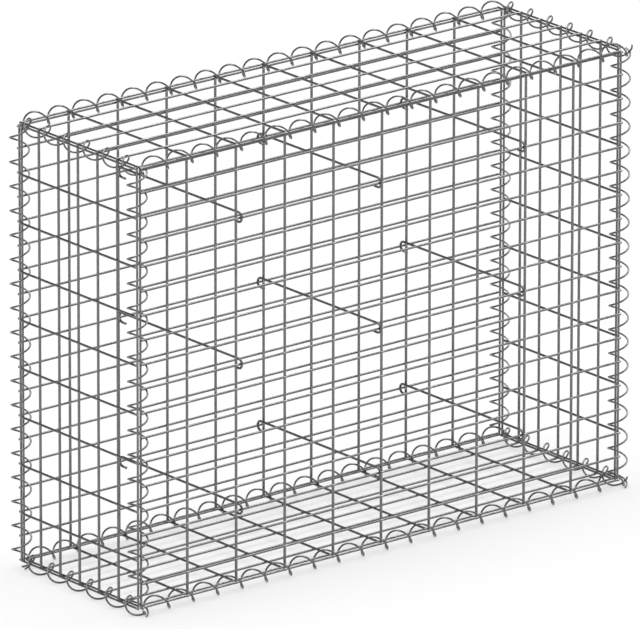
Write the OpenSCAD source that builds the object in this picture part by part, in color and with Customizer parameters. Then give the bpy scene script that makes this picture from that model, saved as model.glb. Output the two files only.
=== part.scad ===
// Empty gabion basket: six welded wire panels bound along their edges by spirals, with cross ties inside.
// Millimetres, +Z up. The front is toward -Y, the length along X, and the basket stands on Z = 0.

/* [Basket] */
// Length from corner to corner
cage_l = 1000; // [400:10:2000]
// Depth from corner to corner
cage_d = 300; // [150:10:1000]
// Height between the bottom and top wires of an end
cage_h = 735; // [300:5:1200]

/* [Mesh] */
// Cells along the length
cells_l = 10; // [4:1:20]
// Cells along the depth
cells_d = 6; // [2:1:20]
// Cells up the front and the back
cells_h = 18; // [6:1:30]
// Cells up each end
cells_end = 9; // [3:1:15]
// Diameter of the mesh wire
wire_d = 3.5; // [2:0.1:8]
// Sides of a mesh wire
wire_sides = 8; // [6:1:12]
// Distance between the middles of two welded wires, as a share of the wire
weld_share = 0.95; // [0.6:0.05:1]
// How far a wire runs on past the middle of the edge wire it is welded to
overhang = 1.6; // [1:0.1:10]
// How far the uprights run on below the bottom wire's middle
foot_overhang = 2.4; // [0.1:0.1:5]
// How far the uprights of the front and back stand outside the corners
face_out = 0.4; // [0:0.1:6]
// How far the top wires of the front and back lie below those of the ends
top_drop = 3.5; // [0:0.1:10]
// How far one of the two uprights at a corner stands in from the corner
corner_gap = 6; // [4:0.1:15]
// Whether that is the upright of the front or back: front left, front right, back left and back right
corner_faces = [1, 0, 0, 0]; // [0:1:1]
// Height of the lid's cross wires above the top wires of the ends
lid_rise = 0.8; // [0:0.1:6]
// Height of the base's cross wires above the bottom wires
base_rise = 0.9; // [0:0.1:6]
// How far the edge wires along the lid and base lie from the cross wires' middle, toward the inside
edge_dip = 0.6; // [0:0.1:2]
// How far the lid's edge wires lie outside the corners
lid_out = 4.4; // [2:0.1:10]
// How far the base's edge wires lie inside the corners
base_in = 7; // [4:0.1:20]
// How far the first and last cross wires of the lid and base lie inside the corners
cross_in = 5; // [4:0.1:20]
// How far a piece is pressed into the wire it rests on
seat = 0.3; // [0:0.05:0.5]

/* [Spirals] */
// Diameter of the spiral wire
coil_d = 2.6; // [1.5:0.1:6]
// Sideways radius of a spiral on a level edge, to the middle of its wire
coil_r = 15; // [8:0.1:30]
// Upward radius of the spirals on the level edges
coil_rise = 12.4; // [8:0.1:30]
// Radius of the spirals up the corners
corner_r = 15.6; // [8:0.1:30]
// Height of the level spirals' axes above the top and bottom wires of the ends
coil_up = 1.3; // [0:0.1:5]
// Turns of a spiral along the length
turns_l = 20; // [4:1:40]
// Turns of a spiral along the depth
turns_d = 6; // [2:1:20]
// Turns of a spiral up a corner
turns_h = 18; // [4:1:40]
// Angles at which the top spirals start, at the left or the front: front, back, left and right
top_starts = [190, 204, 156, 156]; // [0:1:360]
// The same for the base spirals
base_starts = [185, 158, 181, 139]; // [0:1:360]
// Angles of the corner spirals at the foot: front left, front right, back left and back right
corner_starts = [20, 19, 342, 12]; // [0:1:360]
// Shares of a turn that the top spirals run on past the corners: front, back, left and right
top_free_shares = [0.3, 0.3, 0, 0.3]; // [0:0.01:0.5]
// The same for the base spirals
base_free_shares = [0.3, 0.1, 0, 0]; // [0:0.01:0.5]
// The same for the corner spirals at the foot
corner_free_share = 0.27; // [0:0.01:0.5]
// Share of a turn over which a spiral is closed onto an edge wire at its other end
close_share = 0.45; // [0.2:0.05:1]
// Points along one turn
coil_steps = 10; // [8:1:24]
// Sides of a spiral wire
coil_sides = 4; // [3:1:8]

/* [Ties] */
// Diameter of the tie wire
tie_d = 3.2; // [1.5:0.1:6]
// Radius of a hook, to the middle of its wire
hook_r = 8; // [4:0.1:15]
// Length of a hook's straight end
hook_tail = 9; // [2:0.5:30]
// Distance from the middle of a tie to the middle of the upright beside it
tie_side = 7; // [4:0.1:20]
// Uprights that the columns of ties hang beside, counted from the left
tie_uprights = [2, 5, 8]; // [0:1:20]
// Side of its upright that each column is on
tie_sides = [1, -1, -1]; // [-1:2:1]
// Level wires that the rows of ties hang on, counted from the foot
tie_rows = [3, 9, 15]; // [0:1:30]

/* [Hidden] */
pitch_l = cage_l / cells_l;
pitch_d = cage_d / cells_d;
pitch_h = cage_h / cells_h;
pitch_end = cage_h / cells_end;
weld = wire_d * weld_share;
// Middles of the uprights and level wires of the front and of an end, out from the centre
face_upright_y = cage_d / 2 + face_out;
face_level_y = face_upright_y + weld;
end_upright_x = cage_l / 2;
end_level_x = end_upright_x + weld;
// Middles of the faces' top wires and of the lid's and base's wires, up from the bottom wires
face_top_z = cage_h - top_drop;
lid_cross_z = cage_h + lid_rise;
lid_long_z = lid_cross_z + weld;
lid_edge_z = lid_cross_z - edge_dip;
base_cross_z = base_rise;
base_long_z = base_cross_z - weld;
base_edge_z = base_cross_z + edge_dip;
// Edge wires along the lid and base, out from the centre, and where the wires between them end
lid_edge_y = cage_d / 2 + lid_out;
base_edge_y = cage_d / 2 - base_in;
lid_reach = end_upright_x + overhang;
base_reach = end_upright_x - wire_d / 2 + seat;
// Tops of the uprights, pressed into the lid's cross wires at the faces and its long wires at the ends
face_head_z = lid_cross_z - wire_d / 2 + seat;
end_head_z = lid_long_z - wire_d / 2 + seat;
// Axes of the spirals
long_coil_y = face_upright_y;
deep_coil_x = end_upright_x;
top_coil_z = cage_h + coil_up;
base_coil_z = coil_up;
// A spiral wire of few sides is drawn wider, so that it has the section of a round one
coil_corner_r = coil_d / 2 * sqrt(360 / coil_sides * PI / 180 / sin(360 / coil_sides));
coil_face_r = coil_corner_r * cos(180 / coil_sides);
coil_step = 360 / coil_steps;
// Height of the bottom wires above the floor, on which the base spirals rest
floor_h = coil_rise + coil_face_r - base_coil_z;
// Middle of a hook's bend, which the tie pulls against the outside of the level wire
hook_y = face_level_y + (wire_d + tie_d) / 2 - seat - hook_r;
$fn = 48;

// A straight wire of few sides from one end to the other along an axis
module wire_x(from, to) {
  translate([from, 0, 0])
    rotate([0, 90, 0])
      wire_z(0, to - from);
}
module wire_y(from, to) {
  translate([0, from, 0])
    rotate([-90, 0, 0])
      wire_z(0, to - from);
}
module wire_z(from, to) {
  translate([0, 0, from])
    rotate([0, 0, 180 / wire_sides])
      cylinder(h = to - from, d = wire_d / cos(180 / wire_sides), $fn = wire_sides);
}

// How far the uprights of a face and of an end stand in from a corner
function face_in(corner) = corner_gap * corner_faces[corner];
function end_in(corner) = corner_gap * (1 - corner_faces[corner]);

// Places of the wires across a panel: the two at its edges, and the others on the mesh's own spacing
function places(low, high, cells, pitch) =
  [low, each [for (i = [1 : cells - 1]) (i - cells / 2) * pitch], high];

// Uprights and outer level wires of the front or back, between its corners on the left and right
module face(side, corners) {
  left = face_in(corners[0]) - cage_l / 2;
  right = cage_l / 2 - face_in(corners[1]);
  translate([0, 0, floor_h]) {
    for (x = places(left, right, cells_l, pitch_l))
      translate([x, side * face_upright_y, 0])
        wire_z(-foot_overhang, face_head_z);
    for (i = [0 : cells_h])
      translate([0, side * face_level_y, min(i * pitch_h, face_top_z)])
        wire_x(left - overhang, right + overhang);
  }
}

// Uprights and outer level wires of an end, between its corners at the front and back
module end(side, corners) {
  front = end_in(corners[0]) - cage_d / 2;
  back = cage_d / 2 - end_in(corners[1]);
  translate([0, 0, floor_h]) {
    for (y = places(front, back, cells_d, pitch_d))
      translate([side * end_upright_x, y, 0])
        wire_z(-foot_overhang, end_head_z);
    for (i = [0 : cells_end])
      translate([side * end_level_x, 0, i * pitch_end])
        wire_y(front - overhang, back + overhang);
  }
}

// Cross wires of the lid or base between its two edge wires, and the long wires that run over or under them
module flat_mesh(edge_y, edge_z, cross_z, long_z, reach) {
  half_l = cage_l / 2 - cross_in;
  translate([0, 0, floor_h]) {
    for (x = places(-half_l, half_l, cells_l, pitch_l))
      translate([x, 0, cross_z])
        wire_y(-edge_y, edge_y);
    for (y = [-edge_y, edge_y])
      translate([0, y, edge_z])
        wire_x(-half_l - overhang, half_l + overhang);
    for (i = [1 : cells_d - 1])
      translate([0, (i - cells_d / 2) * pitch_d, long_z])
        wire_x(-reach, reach);
  }
}

// Angles along a spiral that is closed at its start, or at its end where ends is -1
function coil_angles(closed, free, ends) =
  let (
    first = ends > 0 ? ceil(closed / coil_step) : ceil(free / coil_step - 0.5),
    last = ends > 0 ? floor(free / coil_step - 0.5) : floor(closed / coil_step) - 1,
    between = [for (k = [first : last]) (k + 0.5) * coil_step]
  )
  ends > 0 ? concat([closed], between) : concat(between, [closed]);

// Angle of the closed end, beside the edge wire in the direction given
function closed_angle(start, turns, toward, ends) = ends > 0
  ? start + ((toward - start) % 360 + 360) % 360
  : start + turns * 360 - ((start - toward) % 360 + 360) % 360;

// Share of the full radius at an angle, from the closed end's to the whole
function open_share(angle, closed, inner) =
  let (t = min(abs(angle - closed) / (close_share * 360), 1))
  inner + (1 - inner) * t * t * (3 - 2 * t);

// A right-handed spiral along Z from zero, closed onto an edge wire that lies off its axis
module spiral(span, turns, start, radii, edge_wire, free_share, ends) {
  pitch = span / turns;
  toward = atan2(edge_wire[1], edge_wire[0]);
  closed = closed_angle(start, turns, toward, ends);
  free = ends > 0 ? start + (turns + free_share) * 360 : start - free_share * 360;
  angles = coil_angles(closed, free, ends);
  away = norm([radii[0] * cos(toward), radii[1] * sin(toward)]);
  inner = (norm(edge_wire) + wire_d / 2 + coil_face_r - seat) / away;
  points = [for (a = angles)
    let (
      share = open_share(a, closed, inner),
      out = [cos(a), sin(a), 0],
      middle = [radii[0] * share * cos(a), radii[1] * share * sin(a), pitch * (a - start) / 360],
      run = [-radii[0] * sin(a), radii[1] * cos(a), pitch / (2 * PI)],
      side = cross(run / norm(run), out)
    )
    for (k = [0 : coil_sides - 1])
      let (turn = (k + 0.5) * 360 / coil_sides)
      middle + coil_corner_r * (cos(turn) * out + sin(turn) * side / norm(side))];
  rings = len(angles);
  walls = [for (r = [0 : rings - 2], k = [0 : coil_sides - 1])
    let (
      a = r * coil_sides + k,
      b = r * coil_sides + (k + 1) % coil_sides
    )
    each [[a, b, b + coil_sides], [a, b + coil_sides, a + coil_sides]]];
  foot = [for (k = [1 : coil_sides - 2]) [0, k + 1, k]];
  last = (rings - 1) * coil_sides;
  head = [for (k = [1 : coil_sides - 2]) [last, last + k, last + k + 1]];
  polyhedron(points, concat(walls, foot, head), convexity = turns);
}

// Spirals along the length, closed at the left onto the edge wire given as back and up from the axis
module long_spiral(side, z, start, edge_wire, free_share) {
  translate([-cage_l / 2, side * long_coil_y, floor_h + z])
    rotate([90, 0, 90])
      spiral(cage_l, turns_l, start, [coil_r, coil_rise], edge_wire, free_share, 1);
}

// Spirals along the depth, closed at the back onto the edge wire given as up and right from the axis
module deep_spiral(side, z, start, edge_wire, free_share) {
  translate([side * deep_coil_x, -cage_d / 2, floor_h + z])
    rotate([-90, -90, 0])
      spiral(cage_d, turns_d, start, [coil_rise, coil_r], edge_wire, free_share, -1);
}

// Spirals up the corners, closed at the top onto the end's upright there
module corner_spiral(side_x, side_y, corner) {
  edge_wire = [0, -side_y * (face_out + end_in(corner))];
  translate([side_x * deep_coil_x, side_y * long_coil_y, floor_h])
    spiral(cage_h, turns_h, corner_starts[corner], [corner_r, corner_r], edge_wire, corner_free_share, -1);
}

// The bend at an end of a tie, round a level wire, and the short straight end below it
module hook() {
  translate([0, hook_y, -hook_r])
    rotate([90, 0, 90])
      rotate([0, 0, -90])
        rotate_extrude(angle = 180)
          translate([hook_r, 0])
            circle(d = tie_d);
  translate([0, hook_y - hook_tail, -2 * hook_r])
    rotate([-90, 0, 0])
      cylinder(h = hook_tail, d = tie_d);
}

// A tie across the depth, hooked round the same level wire of the front and the back
module tie(row, column) {
  x = tie_uprights[column] * pitch_l - cage_l / 2 + tie_sides[column] * tie_side;
  translate([x, 0, floor_h + tie_rows[row] * pitch_h + hook_r]) {
    translate([0, -hook_y, 0])
      rotate([-90, 0, 0])
        cylinder(h = 2 * hook_y, d = tie_d);
    hook();
    rotate([0, 0, 180])
      hook();
  }
}

module front_panel() {
  color([0.55, 0.55, 0.54])
    face(-1, [0, 1]);
}
module back_panel() {
  color([0.55, 0.55, 0.54])
    face(1, [2, 3]);
}
module left_end_panel() {
  color([0.5, 0.5, 0.49])
    end(-1, [0, 2]);
}
module right_end_panel() {
  color([0.5, 0.5, 0.49])
    end(1, [1, 3]);
}
module lid_panel() {
  color([0.58, 0.58, 0.57])
    flat_mesh(lid_edge_y, lid_edge_z, lid_cross_z, lid_long_z, lid_reach);
}
module base_panel() {
  color([0.58, 0.58, 0.57])
    flat_mesh(base_edge_y, base_edge_z, base_cross_z, base_long_z, base_reach);
}

module spiral_top_front() {
  color([0.66, 0.66, 0.65])
    long_spiral(-1, top_coil_z, top_starts[0],
      [long_coil_y - face_level_y, face_top_z - top_coil_z], top_free_shares[0]);
}
module spiral_top_back() {
  color([0.66, 0.66, 0.65])
    long_spiral(1, top_coil_z, top_starts[1],
      [face_level_y - long_coil_y, face_top_z - top_coil_z], top_free_shares[1]);
}
module spiral_base_front() {
  color([0.66, 0.66, 0.65])
    long_spiral(-1, base_coil_z, base_starts[0],
      [long_coil_y - base_edge_y, base_edge_z - base_coil_z], base_free_shares[0]);
}
module spiral_base_back() {
  color([0.66, 0.66, 0.65])
    long_spiral(1, base_coil_z, base_starts[1],
      [face_level_y - long_coil_y, -base_coil_z], base_free_shares[1]);
}
module spiral_top_left() {
  color([0.64, 0.64, 0.63])
    deep_spiral(-1, top_coil_z, top_starts[2],
      [lid_cross_z - top_coil_z, cross_in], top_free_shares[2]);
}
module spiral_top_right() {
  color([0.64, 0.64, 0.63])
    deep_spiral(1, top_coil_z, top_starts[3],
      [cage_h - top_coil_z, end_level_x - deep_coil_x], top_free_shares[3]);
}
module spiral_base_left() {
  color([0.64, 0.64, 0.63])
    deep_spiral(-1, base_coil_z, base_starts[2],
      [base_cross_z - base_coil_z, cross_in], base_free_shares[2]);
}
module spiral_base_right() {
  color([0.64, 0.64, 0.63])
    deep_spiral(1, base_coil_z, base_starts[3],
      [base_cross_z - base_coil_z, -cross_in], base_free_shares[3]);
}
module spiral_corner_front_left() {
  color([0.62, 0.62, 0.61])
    corner_spiral(-1, -1, 0);
}
module spiral_corner_front_right() {
  color([0.62, 0.62, 0.61])
    corner_spiral(1, -1, 1);
}
module spiral_corner_back_left() {
  color([0.62, 0.62, 0.61])
    corner_spiral(-1, 1, 2);
}
module spiral_corner_back_right() {
  color([0.62, 0.62, 0.61])
    corner_spiral(1, 1, 3);
}

module tie_low_left() {
  color([0.6, 0.6, 0.59])
    tie(0, 0);
}
module tie_low_middle() {
  color([0.6, 0.6, 0.59])
    tie(0, 1);
}
module tie_low_right() {
  color([0.6, 0.6, 0.59])
    tie(0, 2);
}
module tie_mid_left() {
  color([0.6, 0.6, 0.59])
    tie(1, 0);
}
module tie_mid_middle() {
  color([0.6, 0.6, 0.59])
    tie(1, 1);
}
module tie_mid_right() {
  color([0.6, 0.6, 0.59])
    tie(1, 2);
}
module tie_high_left() {
  color([0.6, 0.6, 0.59])
    tie(2, 0);
}
module tie_high_middle() {
  color([0.6, 0.6, 0.59])
    tie(2, 1);
}
module tie_high_right() {
  color([0.6, 0.6, 0.59])
    tie(2, 2);
}

front_panel();
back_panel();
left_end_panel();
right_end_panel();
lid_panel();
base_panel();
spiral_top_front();
spiral_top_back();
spiral_base_front();
spiral_base_back();
spiral_top_left();
spiral_top_right();
spiral_base_left();
spiral_base_right();
spiral_corner_front_left();
spiral_corner_front_right();
spiral_corner_back_left();
spiral_corner_back_right();
tie_low_left();
tie_low_middle();
tie_low_right();
tie_mid_left();
tie_mid_middle();
tie_mid_right();
tie_high_left();
tie_high_middle();
tie_high_right();
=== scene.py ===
"""Dresses the gabion basket: round welded wire, smooth spirals and hooked ties, on a white studio floor."""

import math

import bpy
from mathutils import Matrix, Vector


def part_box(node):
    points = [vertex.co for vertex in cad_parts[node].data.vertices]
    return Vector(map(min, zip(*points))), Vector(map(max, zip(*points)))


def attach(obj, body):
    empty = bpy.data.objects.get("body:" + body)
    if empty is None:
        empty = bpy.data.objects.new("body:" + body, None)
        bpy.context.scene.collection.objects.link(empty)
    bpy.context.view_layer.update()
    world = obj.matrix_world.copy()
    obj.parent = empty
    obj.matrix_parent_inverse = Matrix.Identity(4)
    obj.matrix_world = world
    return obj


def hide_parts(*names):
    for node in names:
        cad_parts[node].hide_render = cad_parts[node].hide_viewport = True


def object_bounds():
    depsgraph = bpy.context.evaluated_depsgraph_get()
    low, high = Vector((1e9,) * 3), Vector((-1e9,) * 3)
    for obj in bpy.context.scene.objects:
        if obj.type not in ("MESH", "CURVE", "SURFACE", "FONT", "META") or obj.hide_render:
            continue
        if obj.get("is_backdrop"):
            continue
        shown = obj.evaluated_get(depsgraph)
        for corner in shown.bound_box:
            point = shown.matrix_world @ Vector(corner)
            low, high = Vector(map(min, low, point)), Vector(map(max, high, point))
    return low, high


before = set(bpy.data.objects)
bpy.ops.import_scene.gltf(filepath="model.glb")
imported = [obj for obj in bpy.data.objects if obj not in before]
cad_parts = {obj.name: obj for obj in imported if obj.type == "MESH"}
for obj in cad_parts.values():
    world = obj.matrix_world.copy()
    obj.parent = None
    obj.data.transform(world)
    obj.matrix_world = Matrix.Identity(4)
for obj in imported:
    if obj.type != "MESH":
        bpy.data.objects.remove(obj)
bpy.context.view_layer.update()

# Radii of the CAD wires, in metres like every length here, and the sides of the drawn ones
MESH_R = 0.00175
COIL_R = 0.0013
TIE_R = 0.0016
MESH_SIDES = 16
COIL_SIDES = 12
TIE_SIDES = 16

# Drawn thickness of the coated wires as shares of the CAD ones
UPRIGHT_FULL = 1.29
CORNER_FULL = 1.05
EDGE_FULL = 0.98
LEVEL_FULL = 1.1
CROSS_FULL = 1.13
COIL_FULL = 1.2
TIE_FULL = 1.25

# A wire runs along an axis if more than this share of its direction does
ALONG_SHARE = 0.5

# How far mesh wires run on past the edge wires, and the uprights below the bottom wires
OVERHANG = 0.0016
FOOT = 0.0024

# How far the faces' and ends' edge wires lie off the even mesh: top wires, bottom wires and one upright
FRONT_DROP = 0.0029
BACK_DROP = 0.0044
RIGHT_RISE = 0.0019
FOOT_RISE = 0.0008
BACK_RIGHT_IN = 0.0016

# The lid's cross wires above the faces, its and the base's edge wires within their cross wires,
# their outer cross wires in from the ends' uprights, and the base's front wire out of line
LID_RISE = 0.0008
EDGE_DIP = 0.0006
CROSS_IN = 0.005
BASE_OUT = 0.0015

# Cells of the mesh along the length and depth, up the front and up an end
CELLS_L = 10
CELLS_D = 6
CELLS_H = 18
CELLS_END = 9

# A cut end is narrowed over a short bevel
CUT_BEVEL = 0.0003
CUT_SCALE = 0.8

# A weld swells a wire over a reach in mesh radii, with its full strength in the middle
WELD_REACH = 2.4
WELD_SWELL = 1.01
WELD_STEPS = ((-1, 0.0), (-0.5, 0.6), (0, 1.0), (0.5, 0.6), (1, 0.0))

# The bead between two welded wires, in mesh radii, with its tips as shares of its width
BEAD_WIDE = 0.95
BEAD_THICK = 0.8
BEAD_TIP = 0.05
BEAD_SIDES = 10
BEAD_RINGS = 4

# Spirals: radii of the turns, turns along each edge, and a corner spiral's free foot in turns
TURN_R = 0.015
TURN_RISE = 0.0124
CORNER_R = 0.0156
TURNS_L = 20
TURNS_D = 6
TURNS_H = 18
CORNER_FREE = 0.26
TURN_STEPS = 36

# Ties: radius and straight end of a hook
HOOK_R = 0.008
HOOK_TAIL = 0.009
HOOK_STEPS = 18

# Zinc coat: flakes, mottling and grain to the metre, and the sums of flake and mottling between
# which it goes from dull to bright
SPANGLE_SCALE = 450.0
MOTTLE_SCALE = 38.0
MOTTLE_DETAIL = 4.0
GRAIN_SCALE = 2600.0
GRAIN_DETAIL = 2.0
DULL_SUM = 0.3
BRIGHT_SUM = 1.6

# Warmth of its greys, how much painted light brightens it at the welds to lift the shade where crossing
# wires touch, its range of roughness, and its relief
DULL_WARM = 0.02
BRIGHT_WARM = 0.01
CUT_WARM = 0.03
WELD_PAINTED_LIGHT_SHARE = 0.6
WELD_PAINTED_LIGHT_BRIGHT = 1.7
SMOOTHER = 0.08
ROUGHER = 0.12
RIPPLE_STRENGTH = 0.25
RIPPLE_DEPTH = 0.00003
METALLIC = 0.9

# Sockets of a mix node that mixes colours
MIX_FACTOR = 0
MIX_LOW = 6
MIX_HIGH = 7
MIX_RESULT = 2

# Floor: how far it reaches each way, its grey, and how much of it shows plain white
FLOOR_REACH = 60.0
FLOOR_GREY = 0.62
FLOOR_WHITE_SHARE = 0.59

# Dim light from all round, and soft lamps by direction, narrowness and strength
SKY_AROUND = 0.1
BACK_LAMP = ((-0.05, 0.4, 0.91), 32.0, 10.0)
LEFT_LAMP = ((-0.65, 0.14, 0.74), 25.0, 10.0)
RIGHT_LAMP = ((0.55, 0.03, 0.83), 20.0, 10.0)
FRONT_LAMP = ((0.25, -0.75, 0.62), 20.0, 5.0)

# The photo's width, and the camera that stands as the photographer's did: angles in degrees, the
# sensor in millimetres, and what it can see from and to as shares of its distance
IMAGE_W = 640
CAMERA_AZIMUTH = -39.2268
CAMERA_ELEVATION = 18.3361
CAMERA_ROLL = 0.0621
CAMERA_DISTANCE = 22.88712
CAMERA_FOCAL_PX = 14193.56
CAMERA_SENSOR = 36.0
AIM_RIGHT = -0.003597
AIM_UP = -0.016529
NEAR_SHARE = 0.01
FAR_SHARE = 10

X = Vector((1, 0, 0))
Y = Vector((0, 1, 0))
Z = Vector((0, 0, 1))


class Shape:
    """Points and faces of one piece, with how far each point belongs to a weld or to a cut end."""

    def __init__(self):
        self.points = []
        self.faces = []
        self.weld = []
        self.cut = []

    def ring(self, centre, across, up, sides, weld=0.0, cut=0.0):
        """A ring of points, told by the number of its first."""
        first = len(self.points)
        for k in range(sides):
            turn = 2 * math.pi * k / sides
            self.points.append(centre + math.cos(turn) * across + math.sin(turn) * up)
            self.weld.append(weld)
            self.cut.append(cut)
        return first

    def wall(self, low, high, sides):
        """Faces of four corners between two rings."""
        for k in range(sides):
            after = (k + 1) % sides
            self.faces.append((low + k, low + after, high + after, high + k))

    def cap(self, first, sides, outward):
        """One flat face over a ring, toward the way that the rings go or against it."""
        corners = range(first, first + sides)
        self.faces.append(tuple(corners if outward else reversed(corners)))


def tube(shape, stations, sides):
    """A round wire through stations of place, radius, weld and cut, with flat ends."""
    places = [s[0] for s in stations]
    across = None
    last = None
    for i, (place, radius, weld, cut) in enumerate(stations):
        run = places[min(i + 1, len(places) - 1)] - places[max(i - 1, 0)]
        run.normalize()
        if across is None:
            across = run.orthogonal()
        across = across - run * across.dot(run)
        across.normalize()
        first = shape.ring(place, across * radius, run.cross(across) * radius, sides, weld, cut)
        if last is None:
            shape.cap(first, sides, False)
        else:
            shape.wall(last, first, sides)
        last = first
    shape.cap(last, sides, True)


def cut_ends(places, radius):
    """Stations along a path, with a narrowed cut at both ends."""
    first = (places[1] - places[0]).normalized() * CUT_BEVEL
    last = (places[-2] - places[-1]).normalized() * CUT_BEVEL
    head = [(places[0], radius * CUT_SCALE, 0.0, 1.0), (places[0] + first, radius, 0.0, 1.0)]
    tail = [(places[-1] + last, radius, 0.0, 1.0), (places[-1], radius * CUT_SCALE, 0.0, 1.0)]
    return head + [(p, radius, 0.0, 0.0) for p in places[1:-1]] + tail


def mesh_wire(shape, start, end, radius, welds):
    """A straight wire that swells a little at each weld, at the distances given from its start."""
    length = (end - start).length
    along = (end - start).normalized()
    marks = [(CUT_BEVEL, 1.0, 0.0, 1.0), (length - CUT_BEVEL, 1.0, 0.0, 1.0)]
    for place in welds:
        for step, share in WELD_STEPS:
            at = place + step * WELD_REACH * MESH_R
            if 2 * CUT_BEVEL < at < length - 2 * CUT_BEVEL:
                # The share is also the weld mark, which sets how much painted light the zinc gets here.
                marks.append((at, 1 + (WELD_SWELL - 1) * share, share, 0.0))
    marks = [(0.0, CUT_SCALE, 0.0, 1.0)] + sorted(marks) + [(length, CUT_SCALE, 0.0, 1.0)]
    stations = [(start + along * at, radius * scale, weld, cut) for at, scale, weld, cut in marks]
    tube(shape, stations, MESH_SIDES)


def bead(shape, centre, one, other):
    """The weld between two crossing wires, squeezed out round the place where they touch."""
    through = one.cross(other)
    wide = MESH_R * BEAD_WIDE
    thick = MESH_R * BEAD_THICK
    last = None
    for i in range(BEAD_RINGS + 2):
        tilt = math.pi * (i / (BEAD_RINGS + 1) - 0.5)
        reach = wide * max(math.cos(tilt), BEAD_TIP)
        place = centre + through * thick * math.sin(tilt)
        # Its points carry the full weld mark, so they get the zinc's full painted light.
        first = shape.ring(place, one * reach, other * reach, BEAD_SIDES, 1.0)
        if last is None:
            shape.cap(first, BEAD_SIDES, False)
        else:
            shape.wall(last, first, BEAD_SIDES)
        last = first
    shape.cap(last, BEAD_SIDES, True)


def within(place, wire):
    """Whether a distance from the start of a wire lies on it."""
    return -MESH_R < place < (wire[1] - wire[0]).length + MESH_R


def fullness(wire, edges):
    """The drawn share of a mesh wire's thickness, by its direction and its place in the panel."""
    along = (wire[1] - wire[0]).normalized()
    if abs(along.z) > ALONG_SHARE:
        return CORNER_FULL if wire in edges else UPRIGHT_FULL
    if wire in edges:
        return EDGE_FULL
    return LEVEL_FULL if abs(along.x) > ALONG_SHARE else CROSS_FULL


def mesh_panel(name, one_way, other_way):
    """Straight wires given by their ends, in two crossing sets, welded wherever they touch."""
    shape = Shape()
    welds = {id(wire): [] for wire in one_way + other_way}
    for a in one_way:
        for b in other_way:
            along, across = (a[1] - a[0]).normalized(), (b[1] - b[0]).normalized()
            through = along.cross(across)
            apart = b[0] - a[0]
            at, reach = apart.dot(along), -apart.dot(across)
            gap = apart.dot(through)
            inside = within(at, a) and within(reach, b)
            if inside and abs(gap) < 2 * MESH_R:
                welds[id(a)].append(at)
                welds[id(b)].append(reach)
                bead(shape, a[0] + along * at + through * (gap / 2), along, across)
    edges = (one_way[0], one_way[-1], other_way[0], other_way[-1])
    for wire in one_way + other_way:
        mesh_wire(shape, wire[0], wire[1], MESH_R * fullness(wire, edges), welds[id(wire)])
    piece(name, shape, "mesh_wire")


def piece(name, shape, slot):
    """One piece of the object in place of the CAD node of the same name, smooth but for its flat ends."""
    mesh = bpy.data.meshes.new(name)
    mesh.from_pydata(shape.points, [], shape.faces)
    for label, values in (("weld", shape.weld), ("cut", shape.cut)):
        mesh.attributes.new(label, "FLOAT", "POINT").data.foreach_set("value", values)
    mesh.polygons.foreach_set("use_smooth", [len(corners) == 4 for corners in shape.faces])
    mesh.materials.append(MATERIALS[slot])
    made = bpy.data.objects.new("round_" + name, mesh)
    bpy.context.scene.collection.objects.link(made)
    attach(made, "root")
    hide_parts(name)


def add(tree, kind, values=None, **settings):
    """A new node with its own settings and the values of its sockets."""
    made = tree.nodes.new(kind)
    for key, value in settings.items():
        setattr(made, key, value)
    for key, value in (values or {}).items():
        made.inputs[key].default_value = value
    return made


def grey(value, warm=0.0):
    """A grey, with its red raised and its blue lowered by a share."""
    return (value * (1 + warm), value, value * (1 - warm), 1.0)


def mix_colour(tree, factor, low, high):
    """A colour mix whose ends are colours or outputs of other nodes."""
    made = add(tree, "ShaderNodeMix", data_type="RGBA")
    for socket, value in ((made.inputs[MIX_LOW], low), (made.inputs[MIX_HIGH], high)):
        if isinstance(value, tuple):
            socket.default_value = value
        else:
            tree.links.new(value, socket)
    tree.links.new(factor, made.inputs[MIX_FACTOR])
    return made.outputs[MIX_RESULT]


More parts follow.
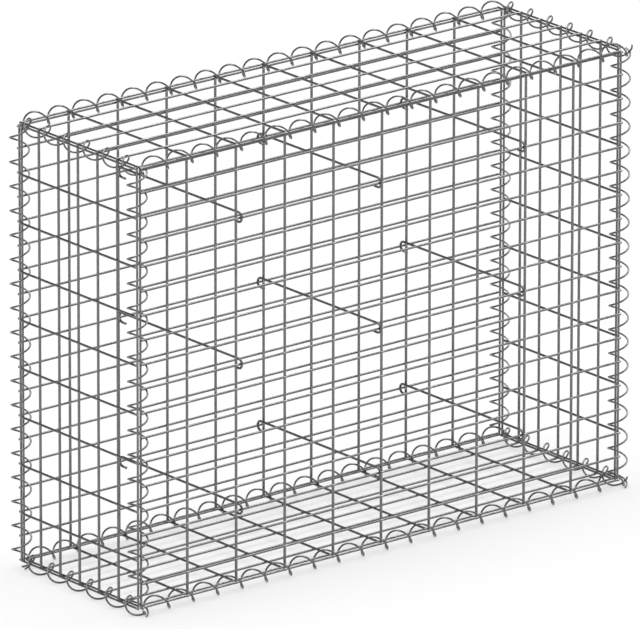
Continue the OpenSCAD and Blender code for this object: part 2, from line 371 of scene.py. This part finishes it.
def galvanised(name, dull, bright, rough):
    """Zinc-coated steel: spangled and mottled, with painted light at the welds that lifts the shade where
    wires touch, and bare at the cut ends.
    """
    material = bpy.data.materials.new(name)
    material.use_nodes = True
    tree = material.node_tree
    tree.nodes.clear()
    link = tree.links.new
    place = add(tree, "ShaderNodeTexCoord").outputs["Object"]
    spangle = add(tree, "ShaderNodeTexVoronoi", {"Scale": SPANGLE_SCALE})
    mottle = add(tree, "ShaderNodeTexNoise", {"Scale": MOTTLE_SCALE, "Detail": MOTTLE_DETAIL})
    grain = add(tree, "ShaderNodeTexNoise", {"Scale": GRAIN_SCALE, "Detail": GRAIN_DETAIL})
    for texture in (spangle, mottle, grain):
        link(place, texture.inputs["Vector"])
    flake = add(tree, "ShaderNodeSeparateColor")
    link(spangle.outputs["Color"], flake.inputs["Color"])
    both = add(tree, "ShaderNodeMath", operation="ADD")
    link(flake.outputs["Red"], both.inputs[0])
    link(mottle.outputs["Fac"], both.inputs[1])
    share = add(tree, "ShaderNodeMapRange", {"From Min": DULL_SUM, "From Max": BRIGHT_SUM})
    link(both.outputs[0], share.inputs["Value"])
    zinc = mix_colour(tree, share.outputs[0], grey(dull, DULL_WARM), grey(bright, BRIGHT_WARM))
    weld = add(tree, "ShaderNodeAttribute", attribute_name="weld").outputs["Fac"]
    # Painted light: the weld mark brightens the zinc to lift the shade that falls where crossing wires
    # touch.
    weld_light = add(tree, "ShaderNodeMath", {1: WELD_PAINTED_LIGHT_SHARE}, operation="MULTIPLY")
    link(weld, weld_light.inputs[0])
    zinc = mix_colour(tree, weld_light.outputs[0], zinc, grey(bright * WELD_PAINTED_LIGHT_BRIGHT, BRIGHT_WARM))
    cut = add(tree, "ShaderNodeAttribute", attribute_name="cut").outputs["Fac"]
    zinc = mix_colour(tree, cut, zinc, grey(bright, CUT_WARM))
    sheen = add(tree, "ShaderNodeMapRange", {"To Min": rough - SMOOTHER, "To Max": rough + ROUGHER})
    link(grain.outputs["Fac"], sheen.inputs["Value"])
    ripple = add(tree, "ShaderNodeBump", {"Strength": RIPPLE_STRENGTH, "Distance": RIPPLE_DEPTH})
    link(grain.outputs["Fac"], ripple.inputs["Height"])
    shader = add(tree, "ShaderNodeBsdfPrincipled", {"Metallic": METALLIC})
    link(zinc, shader.inputs["Base Color"])
    link(sheen.outputs[0], shader.inputs["Roughness"])
    link(ripple.outputs["Normal"], shader.inputs["Normal"])
    link(shader.outputs[0], add(tree, "ShaderNodeOutputMaterial").inputs["Surface"])
    return material


MATERIALS = {
    "mesh_wire": galvanised("mesh_wire", dull=0.145, bright=0.215, rough=0.2),
    "spiral_wire": galvanised("spiral_wire", dull=0.14, bright=0.19, rough=0.17),
    "tie_wire": galvanised("tie_wire", dull=0.12, bright=0.18, rough=0.28),
}

# Places of the mesh wires, read from the CAD panels
front_low, front_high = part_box("front_panel")
left_low, left_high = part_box("left_end_panel")
lid_low, lid_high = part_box("lid_panel")
base_low, base_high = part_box("base_panel")
end_level_x = -left_low.x - MESH_R
end_upright_x = -left_high.x + MESH_R
face_level_y = -front_low.y - MESH_R
face_upright_y = -front_high.y + MESH_R
half_d = -left_low.y - OVERHANG
bottom_z = front_low.z + FOOT
lid_edge_z = lid_low.z + MESH_R
lid_cross_z = lid_edge_z + EDGE_DIP
lid_long_z = lid_high.z - MESH_R
base_edge_z = base_high.z - MESH_R
base_cross_z = base_edge_z - EDGE_DIP
base_long_z = base_low.z + MESH_R
top_z = lid_cross_z - LID_RISE
edge_cross_x = end_upright_x - CROSS_IN


def spread(low, high, cells, span):
    """Places across a panel: its two edge wires, and the others on the mesh's own spacing."""
    return [low] + [(i / cells - 0.5) * span for i in range(1, cells)] + [high]


def climb(cells, foot_rise, top_rise):
    """Heights of a panel's level wires, even but for what the lowest and the highest are raised by."""
    heights = [bottom_z + i * (top_z - bottom_z) / cells for i in range(cells + 1)]
    heights[0] += foot_rise
    heights[-1] += top_rise
    return heights


def line(axis, low, high, place):
    """A straight wire along an axis, through the place given."""
    foot = place - axis * place.dot(axis)
    return foot + axis * low, foot + axis * high


def face(name, side, foot_rise, top_rise):
    """The front or the back: uprights, and level wires outside them."""
    low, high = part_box(name)
    places = spread(low.x + OVERHANG, high.x - OVERHANG, CELLS_L, 2 * end_upright_x)
    heights = climb(CELLS_H, foot_rise, top_rise)
    mesh_panel(name, [line(Z, low.z, high.z, Vector((x, side * face_upright_y, 0))) for x in places],
               [line(X, low.x, high.x, Vector((0, side * face_level_y, z))) for z in heights])


def end(name, side, foot_rise, top_rise, back_in):
    """The left or the right end: uprights, and level wires outside them."""
    low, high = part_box(name)
    places = spread(low.y + OVERHANG, high.y - OVERHANG - back_in, CELLS_D, 2 * half_d)
    heights = climb(CELLS_END, foot_rise, top_rise)
    mesh_panel(name, [line(Z, low.z, high.z, Vector((side * end_upright_x, y, 0))) for y in places],
               [line(Y, low.y, high.y, Vector((side * end_level_x, 0, z))) for z in heights])


def flat(name, edge_z, cross_z, long_z, front_out):
    """The lid or the base: cross wires between two edge wires, and long wires over or under them."""
    low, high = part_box(name)
    edge_y = high.y - MESH_R
    crosses = spread(-edge_cross_x, edge_cross_x, CELLS_L, 2 * end_upright_x)
    longs = spread(-edge_y - front_out, edge_y, CELLS_D, 2 * half_d)
    edge_x = edge_cross_x + OVERHANG
    front, back = [line(X, -edge_x, edge_x, Vector((0, y, edge_z))) for y in (longs[0], longs[-1])]
    inner = [line(X, low.x, high.x, Vector((0, y, long_z))) for y in longs[1:-1]]
    mesh_panel(name, [line(Y, longs[0], edge_y, Vector((x, 0, cross_z))) for x in crosses],
               [front] + inner + [back])


def panels():
    face("front_panel", -1, FOOT_RISE, -FRONT_DROP)
    face("back_panel", 1, 0.0, -BACK_DROP)
    end("left_end_panel", -1, FOOT_RISE, 0.0, 0.0)
    end("right_end_panel", 1, FOOT_RISE, RIGHT_RISE, BACK_RIGHT_IN)
    flat("lid_panel", lid_edge_z, lid_cross_z, lid_long_z, 0.0)
    flat("base_panel", base_edge_z, base_cross_z, base_long_z, BASE_OUT)


def spiral(name, axes, low_end, span, turns, start, before, after, radii):
    """A right-handed spiral round the middle of its CAD node, run on past its ends by shares of a turn."""
    one, other, axis = axes
    low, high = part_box(name)
    middle = (low + high) / 2
    origin = middle + axis * (low_end - middle.dot(axis))
    steps = math.ceil((before + turns + after) * TURN_STEPS)
    places = []
    for i in range(steps + 1):
        turned = (before + turns + after) * i / steps - before
        angle = math.radians(start) + 2 * math.pi * turned
        across = one * (radii[0] * math.cos(angle)) + other * (radii[1] * math.sin(angle))
        places.append(origin + across + axis * (span / turns * turned))
    shape = Shape()
    tube(shape, cut_ends(places, COIL_R * COIL_FULL), COIL_SIDES)
    piece(name, shape, "spiral_wire")


def spirals():
    """All twelve, each with its start in degrees, and its free end in turns where that is its own."""
    for name, start, after in (
        ("spiral_top_front", 190, 0.3),
        ("spiral_top_back", 204, 0.3),
        ("spiral_base_front", 185, 0.3),
        ("spiral_base_back", 158, 0.1),
    ):
        spiral(name, (Y, Z, X), -end_upright_x, 2 * end_upright_x, TURNS_L, start, 0.0, after,
               (TURN_R, TURN_RISE))
    for name, start, before in (
        ("spiral_top_left", 156, 0.0),
        ("spiral_top_right", 156, 0.3),
        ("spiral_base_left", 181, 0.12),
        ("spiral_base_right", 139, 0.18),
    ):
        spiral(name, (Z, X, Y), -half_d, 2 * half_d, TURNS_D, start, before, 0.0, (TURN_RISE, TURN_R))
    for name, start in (
        ("spiral_corner_front_left", 20),
        ("spiral_corner_front_right", 19),
        ("spiral_corner_back_left", 342),
        ("spiral_corner_back_right", 12),
    ):
        spiral(name, (X, Y, Z), bottom_z, top_z - bottom_z, TURNS_H, start, CORNER_FREE, 0.0,
               (CORNER_R, CORNER_R))


def tie(name):
    """A straight tie whose ends hook round the front's and the back's level wires and turn back below."""
    low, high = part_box(name)
    middle = (low + high) / 2
    reach = (high.y - low.y) / 2 - TIE_R - HOOK_R
    level = high.z - TIE_R
    half = [Vector((0, reach - HOOK_TAIL, -2 * HOOK_R))]
    for i in range(HOOK_STEPS + 1):
        turn = math.pi * (i / HOOK_STEPS - 0.5)
        half.append(Vector((0, reach + HOOK_R * math.cos(turn), HOOK_R * (math.sin(turn) - 1))))
    other = [Vector((0, -p.y, p.z)) for p in reversed(half)]
    centre = Vector((middle.x, middle.y, level))
    shape = Shape()
    tube(shape, cut_ends([centre + p for p in half + other], TIE_R * TIE_FULL), TIE_SIDES)
    piece(name, shape, "tie_wire")


def ties():
    for row in ("low", "mid", "high"):
        for column in ("left", "middle", "right"):
            tie(f"tie_{row}_{column}")


def floor_material():
    """Pale matt floor that shows white to the camera and to reflections, and still takes the shadow."""
    material = bpy.data.materials.new("studio_floor")
    material.use_nodes = True
    tree = material.node_tree
    tree.nodes.clear()
    link = tree.links.new
    matt = add(tree, "ShaderNodeBsdfDiffuse", {"Color": grey(FLOOR_GREY)})
    white = add(tree, "ShaderNodeEmission", {"Strength": 1.0})
    path = add(tree, "ShaderNodeLightPath")
    seen = path.outputs["Is Camera Ray"]
    for ray in ("Is Glossy Ray", "Is Transmission Ray"):
        either = add(tree, "ShaderNodeMath", operation="MAXIMUM")
        link(seen, either.inputs[0])
        link(path.outputs[ray], either.inputs[1])
        seen = either.outputs[0]
    share = add(tree, "ShaderNodeMath", {1: FLOOR_WHITE_SHARE}, operation="MULTIPLY")
    link(seen, share.inputs[0])
    mix = add(tree, "ShaderNodeMixShader")
    link(share.outputs[0], mix.inputs[0])
    link(matt.outputs[0], mix.inputs[1])
    link(white.outputs[0], mix.inputs[2])
    link(mix.outputs[0], add(tree, "ShaderNodeOutputMaterial").inputs["Surface"])
    return material


def studio_floor():
    """A wide level floor under the lowest point of the basket."""
    low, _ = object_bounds()
    mesh = bpy.data.meshes.new("studio_floor")
    signs = ((-1, -1), (1, -1), (1, 1), (-1, 1))
    corners = [(x * FLOOR_REACH, y * FLOOR_REACH, low.z) for x, y in signs]
    mesh.from_pydata(corners, [], [(0, 1, 2, 3)])
    mesh.materials.append(floor_material())
    made = bpy.data.objects.new("studio_floor", mesh)
    bpy.context.scene.collection.objects.link(made)
    made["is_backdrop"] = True


def studio_sky():
    """Dim light from all round, with a soft glow round the direction of each lamp."""
    world = bpy.data.worlds.new("studio")
    world.use_nodes = True
    tree = world.node_tree
    tree.nodes.clear()
    link = tree.links.new
    toward = add(tree, "ShaderNodeTexCoord").outputs["Generated"]
    total = add(tree, "ShaderNodeValue").outputs[0]
    total.default_value = SKY_AROUND
    for direction, narrow, strength in (BACK_LAMP, LEFT_LAMP, RIGHT_LAMP, FRONT_LAMP):
        aim = Vector(direction).normalized()
        facing = add(tree, "ShaderNodeVectorMath", {1: aim}, operation="DOT_PRODUCT")
        link(toward, facing.inputs[0])
        lit = add(tree, "ShaderNodeMath", {1: 0.0}, operation="MAXIMUM")
        link(facing.outputs["Value"], lit.inputs[0])
        glow = add(tree, "ShaderNodeMath", {1: narrow}, operation="POWER")
        link(lit.outputs[0], glow.inputs[0])
        more = add(tree, "ShaderNodeMath", {1: strength}, operation="MULTIPLY_ADD")
        link(glow.outputs[0], more.inputs[0])
        link(total, more.inputs[2])
        total = more.outputs[0]
    light = add(tree, "ShaderNodeBackground")
    link(total, light.inputs["Strength"])
    link(light.outputs[0], add(tree, "ShaderNodeOutputWorld").inputs["Surface"])
    bpy.context.scene.world = world


def camera():
    """The photo's own view, aimed a little off the middle of the basket."""
    a, e, roll = (math.radians(v) for v in (CAMERA_AZIMUTH, CAMERA_ELEVATION, CAMERA_ROLL))
    back = Vector((math.sin(a) * math.cos(e), -math.cos(a) * math.cos(e), math.sin(e)))
    level = Vector((math.cos(a), math.sin(a), 0))
    rise = back.cross(level)
    right = level * math.cos(roll) + rise * math.sin(roll)
    up = rise * math.cos(roll) - level * math.sin(roll)
    middle = Vector((0, 0, (bottom_z + top_z) / 2))
    place = middle + right * AIM_RIGHT + up * AIM_UP + back * CAMERA_DISTANCE
    data = bpy.data.cameras.new("camera")
    data.sensor_fit = "HORIZONTAL"
    data.sensor_width = CAMERA_SENSOR
    data.lens = CAMERA_FOCAL_PX / IMAGE_W * CAMERA_SENSOR
    data.clip_start = CAMERA_DISTANCE * NEAR_SHARE
    data.clip_end = CAMERA_DISTANCE * FAR_SHARE
    made = bpy.data.objects.new("camera", data)
    made.matrix_world = Matrix.Translation(place) @ Matrix((right, up, back)).transposed().to_4x4()
    bpy.context.scene.collection.objects.link(made)
    bpy.context.scene.camera = made


panels()
spirals()
ties()
studio_floor()
studio_sky()
camera()
bpy.context.scene.view_settings.view_transform = "Standard"
